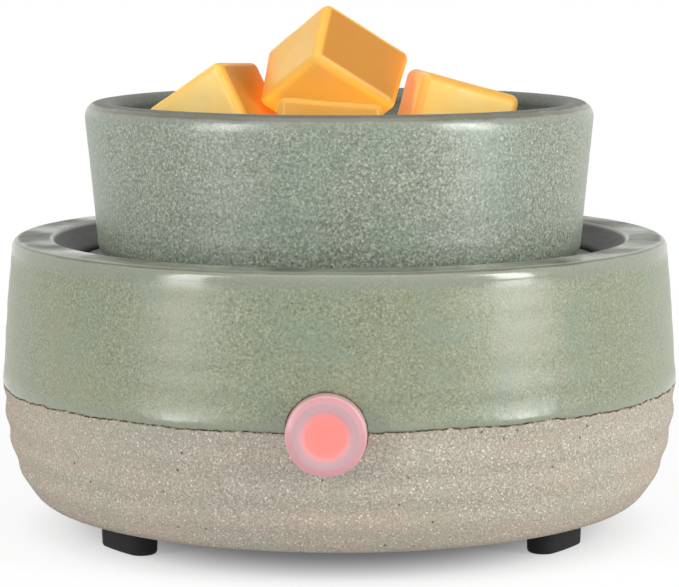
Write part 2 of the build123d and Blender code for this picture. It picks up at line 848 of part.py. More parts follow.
with BuildPart() as block_screws:
    with BuildSketch(Plane.XY.offset(block_bottom + block_ear_height)):
        with Locations(*ear_places):
            Circle(ear_screw_head_radius)
    extrude(amount=ear_screw_head_height)
    with BuildSketch(Plane.XY.offset(block_bottom + block_ear_height)):
        with Locations(*ear_places):
            Circle(ear_screw_radius)
    extrude(amount=-ear_screw_length)
    with BuildSketch(Plane.XY.offset(block_bottom + block_ear_height + ear_screw_head_height)):
        with Locations(*ear_places):
            Rectangle(2 * ear_screw_head_radius, screw_slot_width)
    extrude(amount=-screw_slot_depth, mode=Mode.SUBTRACT)
write_piece(block_screws, "block_screws")

# Cord gland
# A rubber bush in the rear window. Its flange sits in the pocket, its barbs grip inside.

flange_face = gland_seat + gland_flange_thickness
barb_face = cavity_radius - cavity_floor_fillet + math.sqrt(
    cavity_floor_fillet**2
    - (cavity_floor + cavity_floor_fillet - gland_height + gland_rise * gland_barb_share / 2) ** 2
)
barb_front = math.sqrt(barb_face**2 - (gland_width / 2 + gland_barb) ** 2) - gland_barb_gap

with BuildPart() as cord_gland:
    with BuildSketch(rear_plane(gland_root)):
        RectangleRounded(gland_width, gland_rise, gland_corner)
    extrude(amount=gland_seat - gland_root)
    with BuildSketch(rear_plane(gland_seat)):
        RectangleRounded(
            gland_width + 2 * gland_flange_margin,
            gland_rise + 2 * gland_flange_margin,
            gland_corner + gland_flange_margin - gland_clearance,
        )
    extrude(amount=gland_flange_thickness)
    with BuildSketch(rear_plane(flange_face)):
        Circle(gland_nose_radius)
    with BuildSketch(rear_plane(gland_tip)):
        Circle(gland_nose_tip_radius)
    loft()
    with BuildSketch(rear_plane(barb_front)):
        Rectangle(gland_width + 2 * gland_barb, gland_rise * gland_barb_share)
    extrude(amount=-gland_barb_thickness)
    with BuildSketch(rear_plane(gland_root - overrun)):
        Circle(cord_bore_radius)
    extrude(amount=gland_tip - gland_root + 2 * overrun, mode=Mode.SUBTRACT)
write_piece(cord_gland, "cord_gland")

# Internal leads
# Each runs from one terminal to another, with bends as wide as its runs allow.


def inside(x_share, y_share, height_share):
    """Place in the room under the plate, in shares of its radius and height."""
    room_height = ledge_underside - cover_top
    return (cavity_radius * x_share, cavity_radius * y_share, cover_top + room_height * height_share)


def bend_radii(points):
    """Radius of each bend: a share of the shorter run, over the tangent of half the turn."""
    radii = []
    for before, corner, after in zip(points, points[1:], points[2:]):
        run_in = Vector(*corner) - Vector(*before)
        run_out = Vector(*after) - Vector(*corner)
        turn = math.radians(run_in.get_angle(run_out))
        radii.append(bend_share * min(run_in.length, run_out.length) / math.tan(turn / 2))
    return radii


block_front = block_y - block_depth / 2 + block_hole_depth
block_exit = block_y - block_depth
switch_exit = pole_end - block_depth
tab_end = heater_underside - tab_length
sleeve_end = sleeve_top - sleeve_length
loop_height = inside(0, 0, 0.38)[2]
lead_routes = {
    "lead_live": [
        (block_pitch, block_front, wire_height),
        (block_pitch, block_exit, wire_height),
        inside(0.20, -0.06, 0.24),
        (pole_spread, -switch_exit, button_height),
        (pole_spread, -pole_end, button_height),
    ],
    "lead_lamp": [
        (0, block_front, wire_height),
        (0, block_exit, wire_height),
        inside(-0.13, 0.00, 0.22),
        inside(-0.14, -0.36, 0.30),
        (0, -switch_exit - switch_exit_margin, button_height - pole_drop),
        (0, -pole_end, button_height - pole_drop),
    ],
    "lead_neutral": [
        (-block_pitch, block_front, wire_height),
        (-block_pitch, block_exit, wire_height),
        (-tab_x, tab_y, wire_height),
        (-tab_x, tab_y, tab_end),
    ],
    "lead_switched": [
        (-pole_spread, -pole_end, button_height),
        (-pole_spread, -switch_exit, button_height),
        inside(-0.13, -0.24, 0.40),
        (-fuse_wire_reach, fuse_y, loop_height),
        (-fuse_wire_reach, fuse_y, sleeve_end),
    ],
    "lead_heater": [
        (fuse_wire_reach, fuse_y, sleeve_end),
        (fuse_wire_reach, fuse_y, loop_height),
        (tab_x, tab_y, loop_height),
        (tab_x, tab_y, tab_end),
    ],
}
for lead_name, route in lead_routes.items():
    radii = bend_radii(route)
    with BuildPart() as lead:
        with BuildLine() as lead_path:
            FilletPolyline(*route, radius=radii)
        with BuildSketch(Plane(origin=lead_path.line @ 0, z_dir=lead_path.line % 0)):
            Circle(lead_radius)
        sweep(path=lead_path.line)
    print(lead_name, "length", round(lead_path.wire().length, 1), "bends", [round(r, 1) for r in radii])
    write_piece(lead, lead_name)

# Dish
# It stands loose on the plate. The lip is full and round, and the inside is half an ellipsoid.

dish_top = plate_top + dish_height
bowl_edge = dish_top - dish_lip_inner_fillet
bowl_depth = bowl_edge - plate_top - dish_floor_thickness

with BuildPart() as dish:
    with BuildSketch(Plane.XZ):
        with BuildLine():
            FilletPolyline(
                (0, plate_top),
                (dish_foot_radius, plate_top),
                (dish_radius, dish_top),
                (dish_mouth_radius, dish_top),
                (dish_mouth_radius, bowl_edge - dish_lip_land),
                radius=[dish_foot_fillet, dish_lip_outer_fillet, dish_lip_inner_fillet],
            )
            EllipticalCenterArc(
                (0, bowl_edge - dish_lip_land),
                dish_mouth_radius,
                bowl_depth - dish_lip_land,
                start_angle=270,
                arc_size=90,
            )
            Line((0, bowl_edge - bowl_depth), (0, plate_top))
        make_face()
    revolve(axis=Axis.Z)
write_piece(dish, "dish")

# Wax melts
# Each is turned as it landed, then lowered until it meets the dish or the melts below it.

# Places in shares of the mouth radius, and turns about X, Y and Z in degrees. The heap as a whole
# is turned a little from the button.
melt_place_shares = {
    "wax_melt_front": (-0.055, -0.43),
    "wax_melt_left": (-0.535, 0.08),
    "wax_melt_right": (0.505, 0.05),
    "wax_melt_top": (-0.03, 0.03),
}
melt_turns = {
    "wax_melt_front": (70, 2, -4),
    "wax_melt_left": (83, -30, -151),
    "wax_melt_right": (88, 11, -15),
    "wax_melt_top": (135, -10, -126),
}
heap = Location((0, 0, 0), (0, 0, heap_turn))
melt_top_width = melt_width - melt_taper
melt_draft = melt_taper / 2 / melt_thickness
core_inset = melt_fillet * math.sqrt(1 + melt_draft**2) + melt_fillet * melt_draft
core_foot = melt_width - 2 * core_inset
core_top = melt_top_width - 2 * core_inset + 4 * melt_fillet * melt_draft
core_height = melt_thickness - 2 * melt_fillet


def frustum(foot_width, top_width, height):
    """Square frustum about the origin, the wide face down."""
    with BuildPart() as block:
        with BuildSketch(Plane.XY.offset(-height / 2)):
            Rectangle(foot_width, foot_width)
        with BuildSketch(Plane.XY.offset(height / 2)):
            Rectangle(top_width, top_width)
        loft()
    return block.part


def drop_onto(place, turn, core, supports):
    """Lower a turned core until it lies its clearance from the nearest of its supports."""
    for _ in range(settling_steps):
        posed = heap * Location(place, turn) * core
        space = min(posed.distance_to(support) - clearance for support, clearance in supports)
        if space < melt_gap * settled_share:
            break
        place = (place[0], place[1], place[2] - space)
    return place


# A melt is its core grown by the fillet, so cores are cheap to settle and give the same gap
melt_core = frustum(core_foot, core_top, core_height)
supports = [(dish.part, melt_fillet + melt_gap)]
for melt_name, turn in melt_turns.items():
    x_share, y_share = melt_place_shares[melt_name]
    start = (dish_mouth_radius * x_share, dish_mouth_radius * y_share, dish_top + melt_width)
    place = drop_onto(start, turn, melt_core, supports)
    supports.append((heap * Location(place, turn) * melt_core, 2 * melt_fillet + melt_gap))
    with BuildPart() as melt:
        add(frustum(melt_width, melt_top_width, melt_thickness))
        fillet(melt.edges(), melt_fillet)
    melt.part.locate(heap * Location(place, turn))
    print(melt_name, "place", [round(v, 3) for v in place])
    write_piece(melt, melt_name)
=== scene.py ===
import math

import bmesh
import bpy
import numpy as np
from mathutils import Euler, Matrix, Vector, noise
from mathutils.bvhtree import BVHTree


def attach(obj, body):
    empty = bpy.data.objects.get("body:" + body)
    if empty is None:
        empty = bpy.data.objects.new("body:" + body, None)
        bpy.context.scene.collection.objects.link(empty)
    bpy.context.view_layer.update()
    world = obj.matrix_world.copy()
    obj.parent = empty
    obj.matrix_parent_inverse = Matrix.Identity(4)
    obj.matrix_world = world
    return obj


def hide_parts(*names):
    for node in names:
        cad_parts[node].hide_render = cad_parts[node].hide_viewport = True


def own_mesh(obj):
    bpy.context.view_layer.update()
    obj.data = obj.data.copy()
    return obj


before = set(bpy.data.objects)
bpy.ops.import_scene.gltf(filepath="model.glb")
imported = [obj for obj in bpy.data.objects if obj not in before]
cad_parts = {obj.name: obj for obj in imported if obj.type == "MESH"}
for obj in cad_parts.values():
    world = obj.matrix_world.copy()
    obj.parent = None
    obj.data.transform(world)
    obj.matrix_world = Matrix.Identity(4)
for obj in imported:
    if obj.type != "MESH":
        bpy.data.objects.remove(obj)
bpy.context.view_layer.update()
MM = 0.001


# Stoneware base
# A thrown stoneware shell, open below: sage glaze from the waist up, and below it the raw clay
# with shallow throwing ridges. All fixed pieces sit in it, and it has holes for button and gland.

def linear(red, green, blue):
    """Colour on a scale of 255, as the eye sees it, for a shader."""
    shares = [value / 255 for value in (red, green, blue)]
    return [s / 12.92 if s <= 0.04045 else ((s + 0.055) / 1.055) ** 2.4 for s in shares] + [1.0]


class Finish:
    """A procedural material: its Principled shader, and short ways to add nodes."""

    def __init__(self, name, roughness, metallic=0.0, **sockets):
        self.material = bpy.data.materials.new(name)
        self.material.use_nodes = True
        self.tree = self.material.node_tree
        self.shader = self.tree.nodes["Principled BSDF"]
        self.shader.inputs["Roughness"].default_value = roughness
        self.shader.inputs["Metallic"].default_value = metallic
        for socket, value in sockets.items():
            self.shader.inputs[socket.replace("_", " ")].default_value = value
        self.place = self.node("TexCoord").outputs["Object"]

    def node(self, kind, **settings):
        """Adds a node. A setting is the name of an input or of a property."""
        made = self.tree.nodes.new("ShaderNode" + kind)
        for name, value in settings.items():
            socket = name.replace("_", " ")
            if socket in made.inputs:
                self.feed(made.inputs[socket], value)
            else:
                setattr(made, name, value)
        return made

    def feed(self, socket, value):
        """Gives an input a link if the value is a socket, or else a constant."""
        if isinstance(value, bpy.types.NodeSocket):
            self.tree.links.new(value, socket)
        else:
            socket.default_value = value

    def stretched(self, factors):
        """Place with its axes stretched, for grain that runs one way."""
        return self.node("Mapping", Vector=self.place, Scale=factors).outputs["Vector"]

    def grain(self, size, detail=3.0, roughness=0.55, place=None):
        """Noise with features of about this size in millimetres."""
        made = self.node("TexNoise", Vector=place or self.place, Scale=1 / (size * MM),
                         Detail=detail, Roughness=roughness)
        return made.outputs["Fac"]

    def cells(self, size):
        """Distance from scattered points that lie about this far apart in millimetres."""
        made = self.node("TexVoronoi", Vector=self.place, Scale=1 / (size * MM))
        return made.outputs["Distance"]

    def ramp(self, value, stops):
        """Colour by value, from stops of (value, colour on a scale of 255)."""
        made = self.node("ValToRGB", Fac=value)
        elements = made.color_ramp.elements
        while len(elements) < len(stops):
            elements.new(0.5)
        for element, (position, colour) in zip(elements, stops):
            element.position = position
            element.color = linear(*colour)
        return made.outputs["Color"]

    def between(self, value, low, high):
        """0 to 1 as value goes from low to high."""
        made = self.node("MapRange", Value=value, interpolation_type="SMOOTHSTEP")
        made.inputs["From Min"].default_value = low
        made.inputs["From Max"].default_value = high
        return made.outputs["Result"]

    def along(self, distance, low, high):
        """0 to 1 as a distance goes from low to high in millimetres."""
        return self.between(distance, low * MM, high * MM)

    def mix(self, share, first, second, blend="MIX"):
        """Mix of two values: sockets, colours on a scale of 255, or greys from 0.0 to 1.0."""
        made = self.node("Mix", data_type="RGBA", blend_type=blend)
        factor, one, other = made.inputs[0], made.inputs[6], made.inputs[7]
        self.feed(factor, share)
        for socket, value in ((one, first), (other, second)):
            if isinstance(value, tuple):
                value = linear(*value)
            elif isinstance(value, float):
                value = (value, value, value, 1.0)
            self.feed(socket, value)
        return made.outputs[2]

    def maths(self, operation, first, second):
        made = self.node("Math", operation=operation)
        self.feed(made.inputs[0], first)
        self.feed(made.inputs[1], second)
        return made.outputs["Value"]

    def length(self, vector):
        return self.node("VectorMath", operation="LENGTH", Vector=vector).outputs["Value"]

    def off_axis(self):
        """Distance from the vertical axis, and the height."""
        axes = self.node("SeparateXYZ", Vector=self.place).outputs
        flat = self.node("CombineXYZ", X=axes["X"], Y=axes["Y"]).outputs["Vector"]
        return self.length(flat), axes["Z"]

    def colour(self, value):
        self.feed(self.shader.inputs["Base Color"], value)

    def roughness(self, value, low, high):
        made = self.node("MapRange", Value=value)
        made.inputs["To Min"].default_value = low
        made.inputs["To Max"].default_value = high
        self.feed(self.shader.inputs["Roughness"], made.outputs["Result"])

    def bump(self, height, depth, over=None):
        """Relief of this depth in millimetres, on top of the relief that came before."""
        made = self.node("Bump", Height=height, Distance=depth * MM)
        if over is not None:
            self.feed(made.inputs["Normal"], over)
        self.feed(self.shader.inputs["Normal"], made.outputs["Normal"])
        return made.outputs["Normal"]


def new_piece(name, vertices, faces, finishes, picks=None, crease=35.0):
    """Object from points in millimetres, smooth but for edges sharper than the crease."""
    mesh = bpy.data.meshes.new(name)
    mesh.from_pydata([[c * MM for c in v] for v in vertices], [], faces)
    for finish in finishes:
        mesh.materials.append(finish.material)
    if picks is not None:
        mesh.polygons.foreach_set("material_index", picks)
    mesh.polygons.foreach_set("use_smooth", [True] * len(mesh.polygons))
    mesh.set_sharp_from_angle(angle=math.radians(crease))
    mesh.update()
    piece = bpy.data.objects.new(name, mesh)
    bpy.context.collection.objects.link(piece)
    return piece


def rounded(corners, radii, steps=8):
    """Outline through the corners, with the inner ones rounded."""
    points = [corners[0]]
    for before, corner, after, radius in zip(corners, corners[1:], corners[2:], radii):
        here = Vector(corner)
        way_in = (here - Vector(before)).normalized()
        way_out = (Vector(after) - here).normalized()
        turn = way_in.angle_signed(way_out)
        run = radius * math.tan(abs(turn) / 2)
        start = here - way_in * run
        side = Vector((-way_in.y, way_in.x)) * (-math.copysign(1, turn))
        centre = start + side * radius
        for step in range(steps + 1):
            angle = -turn * step / steps
            arm = start - centre
            arm = Vector((arm.x * math.cos(angle) - arm.y * math.sin(angle),
                          arm.x * math.sin(angle) + arm.y * math.cos(angle)))
            points.append(tuple(centre + arm))
    points.append(corners[-1])
    return points


def turned(outline, around, shape=None, closed=True):
    """Points and faces of an outline of (radius, height) turned about the vertical axis.
    shape(angle, row, radius, height) moves a point and returns its radius and height."""
    vertices, faces, rows = [], [], len(outline)
    for step in range(around):
        angle = 2 * math.pi * step / around
        for row, (radius, height) in enumerate(outline):
            if shape:
                radius, height = shape(angle, row, radius, height)
            vertices.append((radius * math.cos(angle), radius * math.sin(angle), height))
    last = rows if closed else rows - 1
    for step in range(around):
        here, there = step * rows, (step + 1) % around * rows
        for row in range(last):
            above = (row + 1) % rows
            faces.append((here + row, there + row, there + above, here + above))
    return vertices, faces, [row for _ in range(around) for row in range(last)]


def face_outward(piece, merge=False):
    """Turns the piece's faces outward. Merging first joins the points that lie on each other."""
    form = bmesh.new()
    form.from_mesh(piece.data)
    if merge:
        bmesh.ops.remove_doubles(form, verts=form.verts, dist=1e-6)
    bmesh.ops.recalc_face_normals(form, faces=form.faces)
    form.to_mesh(piece.data)
    form.free()


def wander(angle, seed, turns):
    """Smooth value from -1 to 1 that comes back to itself after a full turn."""
    return noise.noise(Vector((turns * math.cos(angle), turns * math.sin(angle), seed)))


body_radius = 74.96
foot_edge_radius = 64.2
foot_height = 6.4
glaze_height = 32.4
glaze_radius = 74.6
shoulder_radius = 72.5
body_top = 64.3
rim_land = 8.6
recess_radius = 58.6
ledge_top = 56.9
ledge_underside = 51.9
port_radius = 50.0
cavity_radius = 68.0
cavity_floor = 13.9
cover_top = 8.9
cover_seat_radius = 60.0
ridge_pitch = 6.5
ridge_depth = 0.5
bulge_inset = 0.2
around_base = 960
raw_rows = 64

# The raw wall is a quarter of an ellipse with ridges on it
raw_wall = []
for row in range(raw_rows + 1):
    rise = math.radians(90 * row / raw_rows)
    height = foot_height + (glaze_height - foot_height) * (1 - math.cos(rise))
    wave = math.cos(2 * math.pi * (glaze_height - height) / ridge_pitch) - 1
    widest = body_radius - bulge_inset + ridge_depth / 2 * wave
    bulge = (widest - foot_edge_radius) * math.sin(rise)
    raw_wall.append((foot_edge_radius + bulge, height))
# Over a scorched groove the glaze starts with a rolled bead: (height over the line, how far out)
glaze_bead = [(0.26, -0.06), (0.32, 0.07), (0.5, 0.18), (0.75, 0.26), (1.1, 0.29), (1.6, 0.28),
              (2.2, 0.24), (3.0, 0.16), (4.0, 0.07)]
# Above the bead the wall leans in, more so toward the shoulder
wall_top = 61.7
wall_heights = [glaze_height, 38.3, 47.6, wall_top]
wall_radii = [glaze_radius, 74.35, 73.75, shoulder_radius]
lean = np.polyfit(wall_heights, wall_radii, 3)
above_bead = 37.2
wall_rows = 30
glazed_wall = []
for up, out in glaze_bead:
    height = glaze_height + up
    glazed_wall.append((np.polyval(lean, height) + out, height))
for height in np.linspace(above_bead, wall_top, wall_rows):
    glazed_wall.append((np.polyval(lean, height), height))
# From the shoulder over the rim to the recess and ledge, then round the cavity to the foot
inner_corners = [
    (shoulder_radius, 61.9), (shoulder_radius, body_top), (shoulder_radius - rim_land, body_top),
    (recess_radius, 59.7), (recess_radius, ledge_top), (port_radius, ledge_top),
    (port_radius, ledge_underside), (cavity_radius, ledge_underside), (cavity_radius, cavity_floor),
    (port_radius, cavity_floor), (port_radius, cover_top), (cover_seat_radius, cover_top),
    (cover_seat_radius, foot_height), (foot_edge_radius - 0.6, foot_height),
]
inner_radii = [2.0, 1.8, 1.8, 0.6, 0.6, 0.6, 6.0, 10.0, 0.6, 0.6, 0.6, 0.6]
inner_wall = rounded(inner_corners, inner_radii, 6)
base_outline = raw_wall + [(float(r), float(h)) for r, h in glazed_wall] + inner_wall
shoulder_rows = 12
rim_and_recess_rows = 31
glaze_starts = len(raw_wall) - 1
shoulder_ends = glaze_starts + len(glazed_wall) + shoulder_rows
glaze_ends = glaze_starts + len(glazed_wall) + rim_and_recess_rows

# The glaze's lower edge tilts a little, and wanders in waves of (size, seed, turns)
edge_tilt = 0.3
edge_waves = [(0.45, 3, 2), (0.3, 5, 9), (0.22, 7, 45), (0.16, 9, 130)]
edge_reach = 4.5
wobble_depth = 0.1


def base_form(angle, row, radius, height):
    """Throwing wobble, coarse grain in the raw wall, and the uneven lower edge of the glaze."""
    across = Vector((radius * math.cos(angle), radius * math.sin(angle), height))
    outside = row < shoulder_ends
    if outside:
        edge = edge_tilt * math.cos(angle)
        for size, seed, turns in edge_waves:
            edge += size * wander(angle, seed, turns)
        near = math.exp(-((height - glaze_height) / edge_reach) ** 2)
        height += edge * near
        lift = min(1.0, (height - foot_height) / 5)
        rings = noise.noise(Vector((across.x / 60, across.y / 60, height / 3.5)))
        radius += (wobble_depth * rings - wobble_depth) * lift
    if row < glaze_starts:
        grain = 0.10 * noise.noise(across / 1.1) + 0.07 * noise.noise(across / 0.55)
        radius += (grain - 0.05) * min(1.0, row / 3)
    elif outside and height < 60:
        radius += 0.03 * noise.noise(across / 6)
    return radius, height


sage_glaze = Finish("sage_glaze", 0.38, Specular_IOR_Level=0.55)
speckle = sage_glaze.grain(0.5, 3.0, 0.7)
ground = sage_glaze.ramp(speckle, [
    (0.30, (84, 92, 71)), (0.43, (120, 128, 104)), (0.55, (138, 145, 121)),
    (0.70, (172, 177, 155)),
])
warm = sage_glaze.between(sage_glaze.grain(26, 3.0), 0.35, 0.65)
ground = sage_glaze.mix(warm, ground, sage_glaze.mix(0.35, ground, (148, 148, 120)))
cool = sage_glaze.between(sage_glaze.grain(11, 2.0), 0.5, 0.72)
ground = sage_glaze.mix(cool, ground, sage_glaze.mix(0.35, ground, (120, 140, 126)))
fleck = sage_glaze.maths("MULTIPLY", sage_glaze.between(sage_glaze.cells(3.2), 0.085, 0.04), 0.7)
ground = sage_glaze.mix(fleck, ground, (84, 88, 68))
# Thick glaze is smooth and greyer: over the bead, and where it pools below the shoulder
far, level = sage_glaze.off_axis()
uneven = sage_glaze.maths("MULTIPLY", sage_glaze.grain(16, 3.0), 0.8 * MM)
high = sage_glaze.maths("ADD", level, uneven)
pooled_low = sage_glaze.along(high, 37.0, 33.4)
pooled_high = sage_glaze.along(high, 59.5, 63.0)
pooled = sage_glaze.maths("MAXIMUM", pooled_low, pooled_high)
ground = sage_glaze.mix(sage_glaze.maths("MULTIPLY", pooled, 0.7), ground, (140, 146, 130))
# It breaks to brown along the shoulder; the rim and the recess are painted dark grey as painted
# shade, darkest in the recess under the dish
on_rim = sage_glaze.along(high, 64.5, 64.9)
brushed = sage_glaze.grain(5, 4.0, 0.6, sage_glaze.stretched((0.5, 0.5, 3.0)))
rim_shade_tone = sage_glaze.ramp(brushed, [
    (0.32, (46, 51, 40)), (0.5, (60, 65, 53)), (0.68, (76, 80, 67))])
ground = sage_glaze.mix(on_rim, ground, rim_shade_tone)
break_low = sage_glaze.along(high, 64.0, 64.35)
break_high = sage_glaze.along(far, 71.0, 71.6)
broken = sage_glaze.maths("MULTIPLY", break_low, break_high)
ground = sage_glaze.mix(sage_glaze.maths("MULTIPLY", broken, 0.8), ground, (70, 62, 46))
# Painted shade: the recess under the dish is painted darker still
in_recess = sage_glaze.along(far, 63.7, 62.8)
recess_shade_tone = sage_glaze.ramp(brushed, [
    (0.3, (48, 49, 44)), (0.5, (62, 63, 57)), (0.7, (78, 78, 71))])
ground = sage_glaze.mix(in_recess, ground, recess_shade_tone)
sage_glaze.colour(ground)
calm = sage_glaze.maths("MAXIMUM", pooled, on_rim)
grit = sage_glaze.mix(calm, speckle, 0.5)
relief = sage_glaze.bump(grit, 0.05)
sage_glaze.bump(sage_glaze.grain(14, 2.0), 0.3, relief)
gloss = sage_glaze.mix(pooled, speckle, 0.0)
satin = sage_glaze.maths("MAXIMUM", on_rim, in_recess)
sage_glaze.roughness(sage_glaze.mix(satin, gloss, 1.0), 0.17, 0.55)

raw_stone = Finish("raw_sandstone", 0.95, Specular_IOR_Level=0.2)
matrix = raw_stone.ramp(raw_stone.grain(0.44, 3.0, 0.65), [
    (0.30, (138, 130, 116)), (0.42, (162, 154, 141)), (0.54, (180, 173, 160)),
    (0.64, (202, 197, 184)), (0.76, (222, 218, 206)),
])
streaks = raw_stone.grain(16, 4.0, 0.6, raw_stone.stretched((0.4, 0.4, 1.8)))
matrix = raw_stone.mix(raw_stone.between(streaks, 0.42, 0.62), matrix,
                       raw_stone.mix(0.35, matrix, (186, 164, 146)))
mossy = raw_stone.between(raw_stone.grain(12, 3.0), 0.5, 0.68)
matrix = raw_stone.mix(mossy, matrix, raw_stone.mix(0.3, matrix, (160, 164, 146)))
sand = raw_stone.node("TexVoronoi", Vector=raw_stone.place, Scale=1 / (0.8 * MM)).outputs
pale_grain = raw_stone.between(sand["Distance"], 0.36, 0.18)
chosen = raw_stone.between(sand["Color"], 0.5, 0.75)
crumbs = raw_stone.maths("MULTIPLY", pale_grain, chosen)
matrix = raw_stone.mix(crumbs, matrix, (228, 224, 210))
pit = raw_stone.between(raw_stone.cells(4.2), 0.1, 0.04)
matrix = raw_stone.mix(pit, matrix, (104, 96, 82))
raw_stone.colour(matrix)
relief = raw_stone.bump(raw_stone.grain(0.7, 5.0, 0.7), 0.16)
raw_stone.bump(crumbs, 0.1, relief)

# The bare line under the bead, where the glaze pulled back and the clay scorched
scorched = Finish("scorched_line", 0.8, Specular_IOR_Level=0.2)
scorched.colour(scorched.ramp(scorched.grain(1.2, 4.0, 0.7), [
    (0.34, (54, 46, 32)), (0.47, (84, 72, 52)), (0.55, (142, 130, 106)),
    (0.66, (206, 198, 178))]))
scorched.bump(scorched.grain(0.6), 0.1)


def base_finish(row):
    """Which of raw stone, glaze and scorched line a row of faces has."""
    if row == glaze_starts:
        return 2
    return 1 if glaze_starts < row < glaze_ends else 0


points, faces, face_rows = turned(base_outline, around_base, base_form)
picks = [base_finish(row) for row in face_rows]
base = new_piece("stoneware_base", points, faces, [raw_stone, sage_glaze, scorched], picks)


def prism(name, sections, finishes):
    """Solid through sections along Y, each a distance and an outline of (x, z)."""
    vertices = [(x, y, z) for y, outline in sections for x, z in outline]
    count = len(sections[0][1])
    sides = []
    for section in range(len(sections) - 1):
        here, there = section * count, (section + 1) * count
        for i in range(count):
            after = (i + 1) % count
            sides.append((here + i, here + after, there + after, there + i))
    last = (len(sections) - 1) * count
    ends = [tuple(range(count))[::-1], tuple(range(last, last + count))]
    solid = new_piece(name, vertices, sides + ends, finishes)
    face_outward(solid)
    return solid


def ring(radius, count=96):
    """Circle about the button's axis."""
    angles = [2 * math.pi * i / count for i in range(count)]
    return [(radius * math.cos(a), button_height + radius * math.sin(a)) for a in angles]


def plate_outline(width, rise, corner, steps=6):
    """Rounded rectangle about the cord gland."""
    outline = []
    for quarter, (sx, sz) in enumerate(((1, 1), (-1, 1), (-1, -1), (1, -1))):
        for step in range(steps + 1):
            angle = math.pi / 2 * (quarter + step / steps)
            outline.append((sx * (width / 2 - corner) + corner * math.cos(angle),
                            gland_height + sz * (rise / 2 - corner) + corner * math.sin(angle)))
    return outline


def cut(piece, tool, operation):
    """Boolean of the piece with a tool, which is used up."""
    change = piece.modifiers.new("cut", "BOOLEAN")
    change.operation = operation
    change.solver = "EXACT"
    change.object = tool
    bpy.context.view_layer.update()
    changed = piece.evaluated_get(bpy.context.evaluated_depsgraph_get())
    made = bpy.data.meshes.new_from_object(changed)
    piece.modifiers.clear()
    piece.data = made
    bpy.data.objects.remove(tool)


# A thicker seat for the switch inside the wall, then the button's hole and the gland's window
button_height = 32.5
gland_height = 22.0
switch_radius = 14.5
switch_seat = 66.5
within_wall = 70.0
in_cavity = 50.0
past_wall = 80.0
button_hole_radius = 8.3
seat_ring, hole_ring = ring(switch_radius), ring(button_hole_radius)
seat = prism("seat", [(-switch_seat, seat_ring), (-within_wall, seat_ring)], [raw_stone])
cut(base, seat, "UNION")
switch_room = [(-in_cavity, seat_ring), (-switch_seat, seat_ring),
               (-switch_seat, hole_ring), (-past_wall, hole_ring)]
gland_root = 62.0
gland_step = 72.4
gland_body = plate_outline(11.5, 9.5, 1.45)
gland_flange = plate_outline(15.9, 13.9, 3.4)
gland_room = [(gland_root, gland_body), (gland_step, gland_body),
              (gland_step, gland_flange), (past_wall, gland_flange)]
holes = prism("holes", switch_room, [raw_stone])
other = prism("other", gland_room, [raw_stone])
joined = bmesh.new()
joined.from_mesh(holes.data)
joined.from_mesh(other.data)
joined.to_mesh(holes.data)
joined.free()
bpy.data.objects.remove(other)
cut(base, holes, "DIFFERENCE")
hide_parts("base_shell")
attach(base, "base")


# Bottom cover and feet
# A black moulded disc with two banks of slots closes the base from below, under three screws.
# Its four rubber feet are arcs of one ring, each pushed in by two pegs.

def dress(finish, *names):
    """Gives CAD nodes their finish."""
    for name in names:
        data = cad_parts[name].data
        data.materials.clear()
        data.materials.append(finish.material)


def moulded(name, dark, light, grain, depth, roughness, **sockets):
    """Plastic or rubber with a fine moulded grain, sizes in millimetres."""
    finish = Finish(name, roughness, **sockets)
    texture = finish.grain(grain, 4.0, 0.6)
    finish.colour(finish.ramp(texture, [(0.3, dark), (0.7, light)]))
    finish.bump(texture, depth)
    finish.roughness(texture, roughness - 0.06, roughness + 0.08)
    return finish


black_plastic = moulded("black_moulded_plastic", (22, 22, 23), (36, 36, 37), 0.5, 0.05, 0.55)
foot_rubber = moulded("foot_rubber", (14, 14, 15), (26, 26, 27), 0.4, 0.04, 0.7,
                      Specular_IOR_Level=0.3)
dress(black_plastic, "bottom_cover", "contact_slider", "switch_base")
dress(foot_rubber, "foot_front_left", "foot_front_right", "foot_rear_left", "foot_rear_right")


# Warming plate and heater
# A coated aluminium plate lies on a silicone ring on the stoneware ledge. Below it a mica heater,
# a fibre pad and a steel plate are drawn up by a sheet steel spider on three studs.

plate_coat = Finish("plate_coat", 0.45, 0.2)
swirl = plate_coat.node("TexWave", wave_type="RINGS", rings_direction="Z", Vector=plate_coat.place,
                        Scale=500.0, Distortion=1.2, Detail=3.0).outputs["Fac"]
plate_coat.colour(plate_coat.ramp(plate_coat.grain(0.8, 4.0), [
    (0.3, (38, 38, 40)), (0.7, (62, 62, 64))]))
relief = plate_coat.bump(swirl, 0.02)
plate_coat.bump(plate_coat.grain(0.35), 0.03, relief)
silicone = moulded("red_silicone", (118, 36, 28), (146, 52, 40), 0.8, 0.03, 0.5)


def sheet_metal(name, dark, light, roughness):
    """Rolled sheet with fine lines along X, and faint stains."""
    finish = Finish(name, roughness, 1.0)
    lines = finish.grain(2.2, 4.0, 0.6, finish.stretched((1.0, 14.0, 14.0)))
    stains = finish.grain(9, 3.0)
    tone = finish.ramp(lines, [(0.3, dark), (0.7, light)])
    finish.colour(finish.mix(finish.between(stains, 0.45, 0.7), tone, dark))
    finish.bump(lines, 0.01)
    finish.roughness(lines, roughness - 0.08, roughness + 0.1)
    return finish


